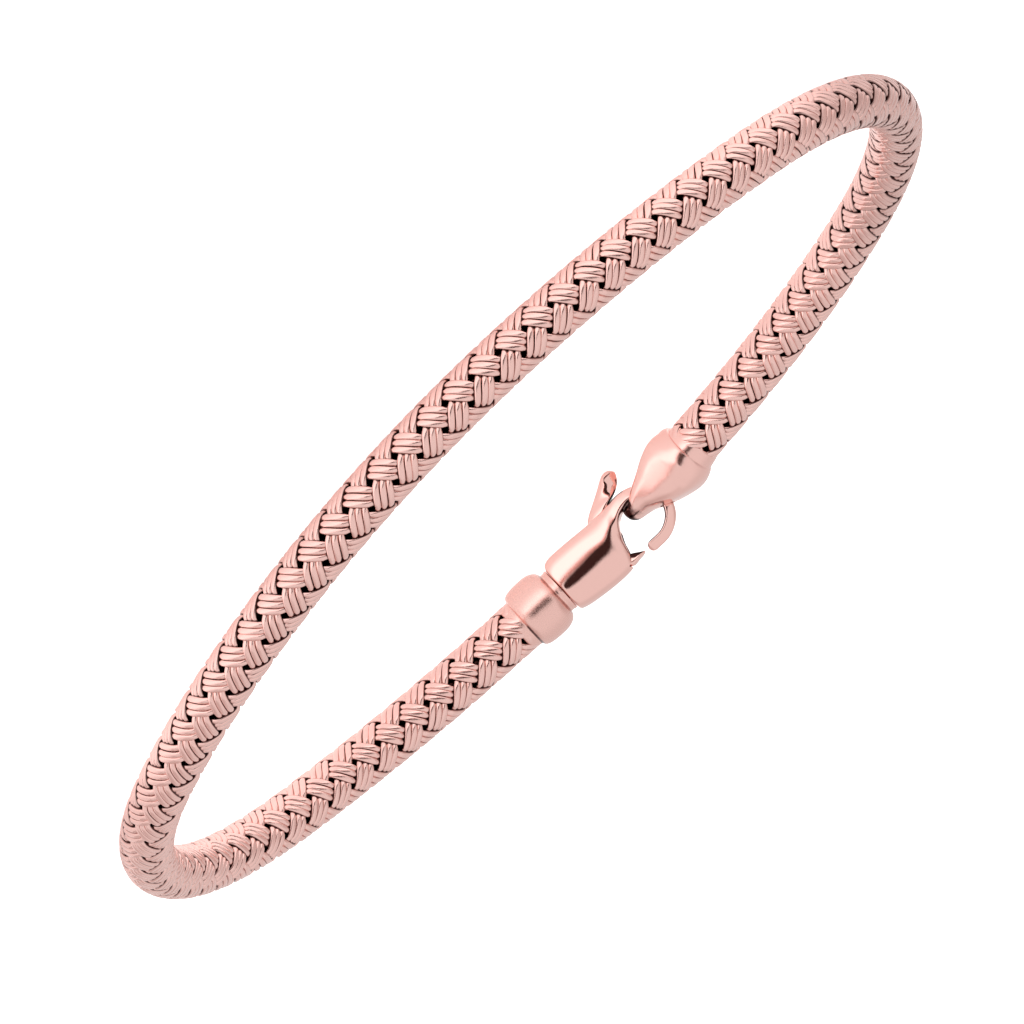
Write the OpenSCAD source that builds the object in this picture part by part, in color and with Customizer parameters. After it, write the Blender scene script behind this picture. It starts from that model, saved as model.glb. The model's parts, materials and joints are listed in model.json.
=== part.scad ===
// Braided bangle: a hollow woven tube bent to an oval and closed by a cast claw.
// The claw hooks through the eye of a tapered end cap, and a sprung lever shuts it.
// The bangle lies as it rests on a table: on its near side and on the lever's thumb tab.

/* [Woven tube] */
// Outer diameter of the woven tube
tube_d = 3.6; // [3.4:0.05:3.7]
// Thickness of the woven wall, two wires deep
weave_wall = 0.8; // [0.6:0.05:1]
// Length of tube held inside the collar and inside the end cap
tube_plug = 1.4; // [1:0.1:1.5]

/* [Loop] */
// Distance across the clasp, from the end cap's mouth to the collar's mouth
clasp_span = 15.2; // [15:0.1:15.4]
// How far the end cap's mouth lies inside the line of the collar
clasp_inset = 0.9; // [0.8:0.05:1]
// Roll of the first bend, which lifts the claw above the plane of the loop
claw_roll = 4; // [3.5:0.1:4.5]

/* [Collar] */
// Diameter of the collar at its belly
collar_d = 4.35; // [4.3:0.05:4.5]
// Length of the collar's barrel
collar_length = 2.7; // [2.6:0.05:2.8]
// Diameter of the thin ring between collar and claw
neck_d = 3.2; // [3:0.1:3.4]
// Diameter of the post that joins the collar to the claw
post_d = 1.6; // [1.4:0.1:1.8]

/* [Claw] */
// Thickness of the claw's body, from front to back
claw_width = 3.3; // [3.1:0.1:3.4]
// Radius inside the hook
hook_inner_r = 1.47; // [1.44:0.01:1.5]
// Diameter of the hook's rod
rod_d = 0.66; // [0.6:0.02:0.7]
// Width of the spine that carries the hook
spine_width = 1.1; // [1:0.05:1.16]

/* [Lever] */
// Thickness of the lever
lever_width = 1; // [0.9:0.05:1]
// Width of the slot that the lever swings in
slot_width = 1.12; // [1.1:0.02:1.2]
// Diameter of the rivet that the lever turns on
rivet_d = 0.7; // [0.6:0.05:0.8]
// Angle that the lever is opened to
lever_open = 0; // [0:1:24]

/* [End cap] */
// Diameter of the end cap behind its mouth
cap_d = 4.4; // [4.3:0.05:4.5]
// Length of the end cap along its axis
cap_length = 5.87; // [5.8:0.01:5.9]
// Width of the eye
eye_width = 1.32; // [1.3:0.02:1.4]

/* [Hidden] */

$fn = 96;
rose_gold = [0.88, 0.64, 0.57];
gold_shade = [0.80, 0.54, 0.47];
tube_r = tube_d / 2;
socket_r = tube_r + 0.04;
loose = 0.03;
skin = 0.02;
lap = 0.3;

// Bends of the tube from the collar round to the end cap, all turning the same way.
// Columns: bend radius, angle turned. The two bends of radius 0 close the loop.
bends = [
    [40, 30],
    [16.5, 44],
    [22, 54],
    [46, 27],
    [0, 33],
    [46, 27],
    [19, 54],
    [0, 43],
    [40, 33]
];
last_bend = len(bends) - 1;
near_bend = 4;
side_bend = 7;

function sweep(i) = bends[i][1];
function heading(i) = i == 0 ? 0 : heading(i - 1) - sweep(i - 1);

// Way gone along an arc of radius 1 that turns clockwise between two headings.
function unit_arc(from, to) = [sin(from) - sin(to), cos(to) - cos(from)];
function bend_arc(i) = unit_arc(heading(i), heading(i + 1));
function sum_to(i) = i < 0 ? [0, 0] : sum_to(i - 1) + bends[i][0] * bend_arc(i);

// The two closing radii make the bends and the clasp add up to nothing.
open_gap = -(sum_to(last_bend) + [clasp_span, clasp_inset]);
near_radius = cross(open_gap, bend_arc(side_bend)) / cross(bend_arc(near_bend), bend_arc(side_bend));
side_radius = cross(bend_arc(near_bend), open_gap) / cross(bend_arc(near_bend), bend_arc(side_bend));

function radius(i) = i == near_bend ? near_radius : i == side_bend ? side_radius : bends[i][0];
function place(i) = i == 0 ? [0, 0] : place(i - 1) + radius(i - 1) * bend_arc(i - 1);
function along(i, turn) = place(i) + radius(i) * unit_arc(heading(i), heading(i) - turn);

// Reach of the loop's middle line, which centres the bangle on its origin.
loop_points = [for (i = [0:last_bend]) for (turn = [0:1:sweep(i)]) along(i, turn)];
loop_x = [for (p = loop_points) p.x];
loop_y = [for (p = loop_points) p.y];
near_y = min(loop_y);
centre_x = (max(loop_x) + min(loop_x)) / 2;
centre_y = (collar_d / 2 + near_y - tube_r) / 2;

// Claw, seen from the front. x runs from the collar's mouth to the hook, z is up.
collar_mouth_x = 0.12;
collar_end_x = collar_mouth_x - collar_length;
neck_end_x = collar_end_x - 0.45;
claw_base_x = neck_end_x - 0.05;
post_length = 1;
hook_x = -10.2;
hook_z = 0.25;
hook_mid_r = hook_inner_r + rod_d / 2;
hook_tip_x = -9.55;
pivot_x = -6.1;
pivot_z = 0.4;
tab_x = -10.42;
tab_z = -3.32;
tab_r = 0.5;

// Lean of the resting bangle, which sets the tab and the near side on the table.
tab_reach = 3.095;
lean = asin((tab_reach - tube_r) / (-near_y));
rest_height = tube_r + (centre_y - near_y) * sin(lean);

// Side outline of the claw's body and spine, from the base's foot round by the hook.
claw_outline = [
    [claw_base_x, -1.5], [-3.25, -1.78], [-3.55, -1.98], [-4.1, -2.08], [-5, -2.1], [-7, -2.12],
    [-10.2, -2.12],
    [-10.2, -1], [-9.2, -1.12], [-8.85, -0.8], [-8.45, -0.25], [-8.15, 0.34], [-8, 0.85],
    [-7.94, 1.3], [-7.75, 1.8], [-7.62, 2.2], [-7.4, 2.33], [-7, 2.35], [-6, 2.31], [-5, 2.24],
    [-4.2, 2.14], [-3.5, 1.98], [claw_base_x, 1.75]
];

// Half of the claw's outline from above: how far its cheeks stand from the middle.
cheek = claw_width / 2;
spine = spine_width / 2;
claw_plan = [
    [claw_base_x, 1.45], [-3.5, cheek - 0.05], [-4.5, cheek], [-7, cheek - 0.05], [-7.8, 1.35],
    [-8.4, 1.05], [-9, 0.74], [-9.5, 0.6], [-10.2, spine]
];

slot_outline = [
    [-9.6, -2.6], [-9.25, -2.22], [-9.05, -2.06], [-7.3, -0.3], [-8.8, 0.1], [-9, 2.8], [-6.9, 2.8],
    [-6.5, 1.9], [-5.4, 1.55], [-4.95, 0.4], [-5.3, -0.8], [-6, -2.6]
];

gate_outline = [
    [-6.1, -0.3], [-7.2, 0.72], [-7.9, 1.25], [-8.3, 1.5], [-8.8, 1.85], [-8.78, 2.1], [-8.2, 2.19],
    [-7.6, 2.2], [-7, 2.05], [-6.1, 1.1]
];

tab_outline = [
    [-6.5, 0.4], [-6.95, -0.1], [-9.1, -2.26], [-9.45, -2.38], [-10, -2.56], [-10.55, -2.84],
    [-10.42, -3.6], [-10.1, -3.7], [-9.5, -3.34], [-9, -3], [-8.5, -2.68], [-8, -2.42],
    [-7.6, -2.26], [-6.7, -1.3], [-5.6, -0.1]
];

// Side outline of the end cap: half its height above and below its axis.
cap_top = [
    [-0.1, 1.95], [0.15, 2.3], [1, 2.3], [2, 1.83], [3, 1.42], [4, 0.86], [4.6, 0.6], [5.1, 0.5],
    [cap_length, 0.44]
];
cap_bottom = [
    [cap_length, -0.3], [5.1, -0.32], [4.3, -0.34], [3.8, -0.84], [3, -1.42], [2, -1.83], [1, -2.3],
    [0.15, -2.3], [-0.1, -1.95]
];

// End cap from above: radius of the turned cone at each step along its axis.
cap_r = cap_d / 2;
tip_r = 1.16;
tip_x = cap_length - tip_r;
eye_x = 3.0;
eye_length = 1.58;

module ring_place() {
    translate([0, 0, rest_height])
        rotate([lean, 0, 0])
            translate([-centre_x, -centre_y, 0])
                children();
}

// The claw's frame: the first bend is rolled about its far end, and the claw with it.
module collar_place() {
    turn_point = place(1);
    translate([turn_point.x, turn_point.y, 0])
        rotate([0, 0, heading(1)])
            rotate([-claw_roll, 0, 0])
                rotate([0, 0, -heading(1)])
                    translate([-turn_point.x, -turn_point.y, 0])
                        children();
}

module cap_place() {
    mouth = place(last_bend + 1);
    translate([mouth.x, mouth.y, 0])
        rotate([0, 0, heading(last_bend + 1)])
            children();
}

// Turns an outline drawn in x and z into a plate of the given width.
module plate(outline, width) {
    translate([0, width / 2, 0])
        rotate([90, 0, 0])
            linear_extrude(height = width)
                polygon(outline);
}

// Cylinder along x, from x0 towards +x.
module rod_x(x0, length, r) {
    translate([x0, 0, 0])
        rotate([0, 90, 0])
            cylinder(h = length, r = r);
}

// Cylinder along y through a point of the side view, centred on the claw.
module rod_y(x, z, length, r) {
    translate([x, length / 2, z])
        rotate([90, 0, 0])
            cylinder(h = length, r = r);
}

// Turns a half profile, with steps along x and radii, about the x axis.
module turned_x(profile) {
    rotate([90, 0, 90])
        rotate_extrude()
            polygon([for (p = profile) [p[1], p[0]]]);
}

// Section of the tube's wall. A nested stretch is a hair thinner on both faces.
module tube_section(nested) {
    difference() {
        circle(r = tube_r - nested * skin);
        circle(r = tube_r - weave_wall + nested * skin);
    }
}

// One bend. Odd bends nest a little way into their even neighbours, which joins them.
module bend(i) {
    r = radius(i);
    nested = i % 2;
    extra = nested * lap / r * 180 / PI;
    translate([place(i).x, place(i).y, 0])
        rotate([0, 0, heading(i)])
            translate([0, -r, 0])
                rotate([0, 0, 90 - sweep(i) - extra])
                    rotate_extrude(angle = sweep(i) + 2 * extra)
                        translate([r, 0]) tube_section(nested);
}

// Straight end of the tube from x0, nested like an odd bend.
module plug_x(x0) {
    translate([x0, 0, 0])
        rotate([90, 0, 90])
            linear_extrude(height = tube_plug + lap)
                tube_section(1);
}

// The hollow woven tube, with a short straight plug into each end fitting.
module woven_tube() {
    color(rose_gold)
        ring_place() {
            collar_place() {
                plug_x(-tube_plug);
                bend(0);
            }
            for (i = [1:last_bend]) bend(i);
            cap_place() plug_x(-lap);
        }
}

// Turned collar over the tube's end, its neck ring and the post into the claw.
module collar() {
    belly = collar_d / 2;
    round_r = 0.5;
    color(rose_gold)
        ring_place() collar_place() difference() {
            union() {
                intersection() {
                    turned_x([
                        [collar_end_x, 0], [collar_end_x, belly - 0.35], [collar_end_x + 0.1, belly - 0.2],
                        [collar_end_x + 0.3, belly - 0.08], [collar_end_x + round_r, belly - 0.03],
                        [collar_end_x + collar_length / 2, belly], [collar_mouth_x - round_r, belly - 0.03],
                        [collar_mouth_x - 0.3, belly - 0.08], [collar_mouth_x - 0.1, belly - 0.2],
                        [collar_mouth_x, belly - 0.35], [collar_mouth_x, 0]
                    ]);
                    rod_x(collar_end_x, collar_length, belly);
                }
                rod_x(neck_end_x, collar_end_x - neck_end_x + 0.2, neck_d / 2);
                rod_x(neck_end_x - post_length, post_length + 0.2, post_d / 2);
            }
            rod_x(-tube_plug - 0.06, tube_plug + 1, socket_r);
        }
}

module hook() {
    translate([hook_x, 0, hook_z])
        rotate([90, 0, 0]) {
            rotate([0, 0, 90])
                rotate_extrude(angle = 180)
                    translate([hook_mid_r, 0])
                        circle(r = rod_d / 2);
            rotate([0, 0, 236])
                rotate_extrude(angle = 34)
                    translate([hook_inner_r + rod_d / 2 + 0.06, 0])
                        circle(r = rod_d / 2 + 0.06);
        }
    translate([0, 0, hook_z + hook_mid_r]) {
        rod_x(hook_x, hook_tip_x - hook_x, rod_d / 2);
        translate([hook_tip_x, 0, 0]) sphere(r = rod_d / 2);
    }
}

// Cross-section of the claw's body: cheeks that bulge low down, and rounded edges.
module claw_section() {
    corner = 0.9;
    foot = -2.15;
    crown = 2.4;
    bulge_r = 5;
    bulge_z = -0.6;
    side_y = cheek - corner;
    rotate([90, 0, 90])
        linear_extrude(height = 10)
            intersection() {
                translate([bulge_r - cheek, bulge_z]) circle(r = bulge_r);
                translate([cheek - bulge_r, bulge_z]) circle(r = bulge_r);
                union() {
                    translate([-side_y, foot]) square([2 * side_y, crown - foot]);
                    translate([-cheek, foot + corner]) square([2 * cheek, crown - foot - 2 * corner]);
                    for (y = [-side_y, side_y]) for (z = [foot + corner, crown - corner])
                        translate([y, z]) circle(r = corner);
                }
            }
}

// Cast claw: body with cheeks round the lever's slot, spine and hook in one piece.
module claw() {
    mirrored = [for (i = [len(claw_plan) - 1:-1:0]) [claw_plan[i][0], -claw_plan[i][1]]];
    color(rose_gold)
        ring_place() collar_place() difference() {
            union() {
                intersection() {
                    plate(claw_outline, claw_width + 1);
                    translate([0, 0, -4]) linear_extrude(height = 8) polygon(concat(claw_plan, mirrored));
                    translate([-11, 0, 0]) claw_section();
                }
                hook();
            }
            rod_y(hook_x, hook_z, claw_width + 2, hook_inner_r);
            plate(slot_outline, slot_width);
            rod_y(pivot_x, pivot_z, claw_width + 2, rivet_d / 2 + 0.01);
            rod_x(claw_base_x - post_length, post_length + 1, post_d / 2 + loose);
        }
}

// Rivet through both cheeks, flush with them.
module rivet() {
    color(gold_shade)
        ring_place() collar_place()
            rod_y(pivot_x, pivot_z, claw_width - 0.1, rivet_d / 2);
}

// Lever: gate towards the hook's tip, boss on the rivet and thumb tab underneath.
module lever() {
    color(gold_shade)
        ring_place() collar_place()
            translate([pivot_x, 0, pivot_z]) rotate([0, -lever_open, 0]) translate([-pivot_x, 0, -pivot_z])
                difference() {
                    union() {
                        plate(gate_outline, lever_width);
                        plate(tab_outline, lever_width);
                        rod_y(pivot_x, pivot_z, lever_width, 0.8);
                        rod_y(tab_x, tab_z, lever_width, tab_r);
                    }
                    rod_y(pivot_x, pivot_z, lever_width + 1, rivet_d / 2 + loose);
                }
}

// End cap: a turned cone over the tube's end, flattened to a tip with an upright eye.
module end_cap() {
    color(rose_gold)
        ring_place() cap_place() difference() {
            intersection() {
                union() {
                    turned_x([
                        [-0.1, 0], [-0.1, cap_r - 0.2], [0.1, cap_r - 0.05], [0.5, cap_r], [1, cap_r - 0.01],
                        [2, 2], [3, 1.74], [4, 1.42], [tip_x, tip_r], [tip_x, 0]
                    ]);
                    translate([tip_x, 0, -1]) cylinder(h = 2, r = tip_r);
                }
                plate(concat(cap_top, cap_bottom), cap_d + 1);
            }
            rod_x(-1, tube_plug + 1.06, socket_r);
            translate([0, 0, -3]) linear_extrude(height = 6) union() {
                translate([eye_x + eye_width / 2, 0]) circle(d = eye_width);
                translate([eye_x + eye_length - eye_width / 2, 0]) circle(d = eye_width);
                translate([eye_x + eye_width / 2, -eye_width / 2]) square([eye_length - eye_width, eye_width]);
            }
        }
}

woven_tube();
collar();
claw();
rivet();
lever();
end_cap();
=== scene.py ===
"""Woven rose gold bangle with a claw clasp: the looks over its CAD frame."""

import json
import logging
import math
from dataclasses import astuple, dataclass, field
from enum import Enum

import bmesh
import bpy
import numpy as np
from mathutils import Matrix, Vector

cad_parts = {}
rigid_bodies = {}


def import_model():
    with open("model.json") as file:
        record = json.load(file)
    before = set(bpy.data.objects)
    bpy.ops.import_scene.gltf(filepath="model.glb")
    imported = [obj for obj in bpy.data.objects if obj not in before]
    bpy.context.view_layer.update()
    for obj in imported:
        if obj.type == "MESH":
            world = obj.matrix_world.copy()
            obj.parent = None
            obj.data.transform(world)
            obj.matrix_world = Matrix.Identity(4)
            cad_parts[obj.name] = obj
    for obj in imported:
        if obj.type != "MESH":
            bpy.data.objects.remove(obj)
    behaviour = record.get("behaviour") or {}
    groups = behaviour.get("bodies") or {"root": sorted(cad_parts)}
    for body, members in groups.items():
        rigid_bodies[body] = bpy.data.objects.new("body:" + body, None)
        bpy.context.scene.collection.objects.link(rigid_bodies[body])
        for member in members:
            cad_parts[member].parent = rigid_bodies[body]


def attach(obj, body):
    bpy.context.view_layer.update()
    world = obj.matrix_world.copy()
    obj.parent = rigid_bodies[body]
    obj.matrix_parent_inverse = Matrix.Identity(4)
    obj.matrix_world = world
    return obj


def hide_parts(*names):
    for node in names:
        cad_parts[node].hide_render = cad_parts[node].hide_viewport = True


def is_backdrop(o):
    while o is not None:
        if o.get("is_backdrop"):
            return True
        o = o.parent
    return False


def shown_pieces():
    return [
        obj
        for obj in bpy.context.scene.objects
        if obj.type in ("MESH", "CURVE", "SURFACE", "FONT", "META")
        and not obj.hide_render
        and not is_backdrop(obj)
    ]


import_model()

log = logging.getLogger("bangle")

MM = 0.001
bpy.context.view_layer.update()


class Lay(Enum):
    """Which way a strand winds round the tube as it goes along."""

    CLIMBING = 1
    FALLING = -1


@dataclass(frozen=True)
class Fade:
    """A smooth rise from 0 at a low value to 1 at a high one."""

    low: float
    high: float

    def of(self, values: np.ndarray) -> np.ndarray:
        """Gives the rise at each value."""
        share = np.clip((values - self.low) / (self.high - self.low), 0.0, 1.0)
        return share * share * (3.0 - 2.0 * share)


@dataclass(frozen=True)
class Bend:
    """One bend of the tube's middle line."""

    radius: float
    turn: float


@dataclass
class Loop:
    """The middle line of the woven tube in millimetres, bent as the CAD part bends it.

    It starts at the collar's mouth, turns clockwise seen from above, and ends at the end cap's mouth.
    """

    bends: tuple = (
        Bend(40.0, 30.0),
        Bend(16.5, 44.0),
        Bend(22.0, 54.0),
        Bend(46.0, 27.0),
        Bend(0.0, 33.0),
        Bend(46.0, 27.0),
        Bend(19.0, 54.0),
        Bend(0.0, 43.0),
        Bend(40.0, 33.0),
    )
    near_bend: int = 4
    side_bend: int = 7
    clasp_span: float = 15.2
    clasp_inset: float = 0.9
    claw_roll: float = 4.0
    tube_radius: float = 1.8
    collar_diameter: float = 4.35
    tab_reach: float = 3.095
    line_points: int = 4000

    def __post_init__(self) -> None:
        """Closes the loop and works out how the bangle lies."""
        turns = np.radians([b.turn for b in self.bends])
        self.headings = np.concatenate(([0.0], -np.cumsum(turns)))
        arcs = self.unit_arc(self.headings[:-1], self.headings[1:])
        radii = np.array([b.radius for b in self.bends])
        gap = -(radii @ arcs) - np.array([self.clasp_span, self.clasp_inset])
        closing = [self.near_bend, self.side_bend]
        radii[closing] = np.linalg.solve(arcs[closing].T, gap)
        self.radii = radii
        self.places = np.vstack(([0.0, 0.0], np.cumsum(radii[:, None] * arcs, axis=0)))
        self.starts = np.concatenate(([0.0], np.cumsum(radii * turns)))
        self.length = float(self.starts[-1])
        line = self.plan(np.linspace(0.0, self.length, self.line_points))[0]
        near = line[:, 1].min()
        self.centre = np.array(
            [
                (line[:, 0].max() + line[:, 0].min()) / 2,
                (self.collar_diameter / 2 + near - self.tube_radius) / 2,
                0.0,
            ]
        )
        self.lean = math.asin((self.tab_reach - self.tube_radius) / -near)
        self.rest_height = self.tube_radius + (self.centre[1] - near) * math.sin(self.lean)

    @staticmethod
    def unit_arc(start: np.ndarray, end: np.ndarray) -> np.ndarray:
        """Gives the way gone, as x and y, along clockwise arcs of radius 1 between two headings."""
        return np.stack((np.sin(start) - np.sin(end), np.cos(end) - np.cos(start)), axis=-1)

    def plan(self, along: np.ndarray) -> tuple:
        """Finds points of the flat loop and the headings there.

        Args:
            along: Distances from the collar's mouth, in millimetres.

        Returns:
            The points as rows of x and y, and the headings in radians.
        """
        on_tube = np.clip(along, 0.0, self.length)
        which = np.clip(np.searchsorted(self.starts, on_tube, side="right") - 1, 0, len(self.radii) - 1)
        radius = self.radii[which]
        start = self.headings[which]
        heading = start - (on_tube - self.starts[which]) / radius
        point = self.places[which] + radius[:, None] * self.unit_arc(start, heading)
        way = np.stack((np.cos(heading), np.sin(heading)), axis=-1)
        return point + way * (along - on_tube)[:, None], heading

    def claw_turn(self) -> tuple:
        """Gives the roll of the first bend, which lifts the clasp.

        Returns:
            A rotation and a point on its axis.
        """
        heading = self.headings[1]
        axis = Vector((math.cos(heading), math.sin(heading), 0.0))
        turn = Matrix.Rotation(-math.radians(self.claw_roll), 3, axis)
        return np.array(turn), np.array([*self.places[1], 0.0])

    def cap_turn(self) -> tuple:
        """Gives the end cap's rotation and the place of its mouth."""
        turn = Matrix.Rotation(self.headings[-1], 3, "Z")
        return np.array(turn), np.array([*self.places[-1], 0.0])

    def from_claw(self, points: np.ndarray) -> np.ndarray:
        """Moves points from the claw's frame, with x along the clasp, to the loop's frame."""
        turn, pivot = self.claw_turn()
        return (points - pivot) @ turn.T + pivot

    def in_claw(self, points: np.ndarray) -> np.ndarray:
        """Moves points from the loop's frame back to the claw's frame."""
        turn, pivot = self.claw_turn()
        return (points - pivot) @ turn + pivot

    def from_cap(self, points: np.ndarray) -> np.ndarray:
        """Moves points from the end cap's frame, with x away from its mouth, to the loop's frame."""
        turn, mouth = self.cap_turn()
        return points @ turn.T + mouth

    def in_cap(self, points: np.ndarray) -> np.ndarray:
        """Moves points from the loop's frame back to the end cap's frame."""
        turn, mouth = self.cap_turn()
        return (points - mouth) @ turn

    def rings(self, along: np.ndarray) -> tuple:
        """Gives the middle line and its cross directions in the loop's own frame.

        Args:
            along: Distances from the collar's mouth, in millimetres.

        Returns:
            Points, outward directions, upward directions, and the angle by which the weave's
            own zero lies above the outward direction, in radians.
        """
        flat, heading = self.plan(along)
        nought = np.zeros_like(along)
        point = np.column_stack((flat, nought))
        outward = np.column_stack((-np.sin(heading), np.cos(heading), nought))
        upward = np.column_stack((nought, nought, nought + 1.0))
        turn, _ = self.claw_turn()
        rolled = along < self.starts[1]
        point[rolled] = self.from_claw(point[rolled])
        outward[rolled] = outward[rolled] @ turn.T
        upward[rolled] = upward[rolled] @ turn.T
        return point, outward, upward, np.where(rolled, math.radians(self.claw_roll), 0.0)

    def to_rest(self) -> Matrix:
        """Gives the matrix from the loop's frame in millimetres to the resting bangle in metres."""
        drop = Matrix.Translation(Vector((0.0, 0.0, self.rest_height)))
        lean = Matrix.Rotation(self.lean, 4, "X")
        centre = Matrix.Translation(Vector(-self.centre))
        return Matrix.Scale(MM, 4) @ drop @ lean @ centre

    def placed(self, points: np.ndarray) -> np.ndarray:
        """Moves points from the loop's frame, in millimetres, to the resting bangle, in metres."""
        rest = np.array(self.to_rest())
        return points @ rest[:3, :3].T + rest[:3, 3]

    def lifted(self, points: np.ndarray) -> np.ndarray:
        """Moves points from the resting bangle, in metres, back to the loop's frame."""
        back = np.array(self.to_rest().inverted())
        return points @ back[:3, :3].T + back[:3, 3]


@dataclass(frozen=True)
class GroupSocket:
    """A named input or output of a shader node group."""

    name: str
    kind: str
    start: float | tuple | None = None


class Nodes:
    """Short ways to build a node tree."""

    def __init__(self, tree: bpy.types.NodeTree) -> None:
        """Keeps the node tree to add to."""
        self.tree = tree

    def add(self, kind: str, **settings: object) -> bpy.types.Node:
        """Adds a node.

        Args:
            kind: Blender's name for the node type.
            settings: Node properties to set.

        Returns:
            The new node.
        """
        node = self.tree.nodes.new(kind)
        for name, value in settings.items():
            setattr(node, name, value)
        return node

    def link(self, source: bpy.types.NodeSocket, target: bpy.types.NodeSocket) -> None:
        """Links two sockets."""
        self.tree.links.new(source, target)

    def feed(self, value: object, target: bpy.types.NodeSocket) -> None:
        """Links a socket to a node's input, or sets the input to a number or colour.

        Args:
            value: A socket, a number or a colour of three parts.
            target: The node's input.
        """
        if isinstance(value, bpy.types.NodeSocket):
            self.link(value, target)
        else:
            target.default_value = (*value, 1.0) if isinstance(value, tuple) else value

    def math(
        self, operation: str, first: object, second: object = 0.5, third: object = 0.0
    ) -> bpy.types.NodeSocket:
        """Adds a Math node.

        Args:
            operation: The sum to do.
            first: A socket or number.
            second: A socket or number.
            third: A socket or number.

        Returns:
            The result's socket.
        """
        node = self.add("ShaderNodeMath", operation=operation)
        for target, value in zip(node.inputs, (first, second, third)):
            self.feed(value, target)
        return node.outputs[0]

    def mix(self, share: object, first: object, second: object) -> bpy.types.NodeSocket:
        """Mixes two colours.

        Args:
            share: How much of the second, a socket or number.
            first: A socket or colour.
            second: A socket or colour.

        Returns:
            The mixed colour's socket.
        """
        node = self.add("ShaderNodeMix", data_type="RGBA")
        colours = (slot for slot in node.inputs if slot.type == "RGBA")
        self.feed(share, node.inputs[0])
        for target, value in zip(colours, (first, second)):
            self.feed(value, target)
        return node.outputs[2]

    def ramp(self, value: bpy.types.NodeSocket, stops: tuple) -> bpy.types.NodeSocket:
        """Adds a colour ramp of greys.

        Args:
            value: The socket that drives it.
            stops: Pairs of position and grey.

        Returns:
            The colour's socket.
        """
        node = self.add("ShaderNodeValToRGB")
        steps = node.color_ramp.elements
        for index, (place, grey) in enumerate(stops):
            step = steps[index] if index < 2 else steps.new(place)
            step.position = place
            step.color = (grey, grey, grey, 1.0)
        self.link(value, node.inputs[0])
        return node.outputs[0]

    def fade(self, value: bpy.types.NodeSocket, fade: Fade) -> bpy.types.NodeSocket:
        """Adds a Map Range node that follows a fade.

        Args:
            value: The socket that drives it.
            fade: Where it starts and ends.

        Returns:
            The socket of the rise from 0 to 1.
        """
        node = self.add("ShaderNodeMapRange", interpolation_type="SMOOTHSTEP")
        self.link(value, node.inputs["Value"])
        node.inputs["From Min"].default_value = fade.low
        node.inputs["From Max"].default_value = fade.high
        return node.outputs[0]

    def noise(self, place: object, scale: object, detail: float = 2.0) -> bpy.types.NodeSocket:
        """Adds a Noise Texture node.

        Args:
            place: The socket of the places to read it at, or None for the piece's own.
            scale: A socket or number.
            detail: How many finer layers it has.

        Returns:
            The noise's socket.
        """
        node = self.add("ShaderNodeTexNoise")
        if place is not None:
            self.link(place, node.inputs["Vector"])
        self.feed(scale, node.inputs["Scale"])
        node.inputs["Detail"].default_value = detail
        return node.outputs[0]


class NodeGroup:
    """A shader node group that several finishes share."""

    title = "group"
    inputs: tuple = ()
    outputs: tuple = ()

    def __init__(self) -> None:
        """Builds the group once."""
        self.tree = bpy.data.node_groups.new(self.title, "ShaderNodeTree")
        for way, sockets in (("INPUT", self.inputs), ("OUTPUT", self.outputs)):
            for entry in sockets:
                socket = self.tree.interface.new_socket(entry.name, in_out=way, socket_type=entry.kind)
                if entry.start is not None:
                    socket.default_value = entry.start
        self.nodes = Nodes(self.tree)
        self.given = self.nodes.add("NodeGroupInput").outputs
        self.result = self.nodes.add("NodeGroupOutput").inputs
        self.build()

    def build(self) -> None:
        """Fills the group."""

    def place(self, nodes: Nodes, **values: object) -> bpy.types.Node:
        """Puts the group into a material.

        Args:
            nodes: The material's builder.
            values: A value, colour or socket for each of the group's inputs, by name.

        Returns:
            The group node.
        """
        node = nodes.add("ShaderNodeGroup")
        node.node_tree = self.tree
        for name, value in values.items():
            nodes.feed(value, node.inputs[name])
        return node


class SatinGrain(NodeGroup):
    """Fine grain of hand-polished gold: uneven gloss and a shallow relief."""

    title = "satin_grain"
    inputs = (
        GroupSocket("Place", "NodeSocketVector"),
        GroupSocket("Scale", "NodeSocketFloat", 9.0),
        GroupSocket("Smooth", "NodeSocketFloat", 0.16),
        GroupSocket("Rough", "NodeSocketFloat", 0.30),
    )
    outputs = (GroupSocket("Roughness", "NodeSocketFloat"), GroupSocket("Relief", "NodeSocketFloat"))
    cloud_detail = 3.0
    darkest_cloud = 0.3
    brightest_cloud = 0.7
    fineness = 9.0

    def build(self) -> None:
        """Fills the group with a cloudy gloss and a fine relief."""
        nodes, place, scale = self.nodes, self.given["Place"], self.given["Scale"]
        spread = nodes.add("ShaderNodeMapRange")
        nodes.link(nodes.noise(place, scale, self.cloud_detail), spread.inputs["Value"])
        spread.inputs["From Min"].default_value = self.darkest_cloud
        spread.inputs["From Max"].default_value = self.brightest_cloud
        nodes.link(self.given["Smooth"], spread.inputs["To Min"])
        nodes.link(self.given["Rough"], spread.inputs["To Max"])
        nodes.link(spread.outputs[0], self.result["Roughness"])
        fine = nodes.noise(place, nodes.math("MULTIPLY", scale, self.fineness))
        nodes.link(fine, self.result["Relief"])


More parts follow.
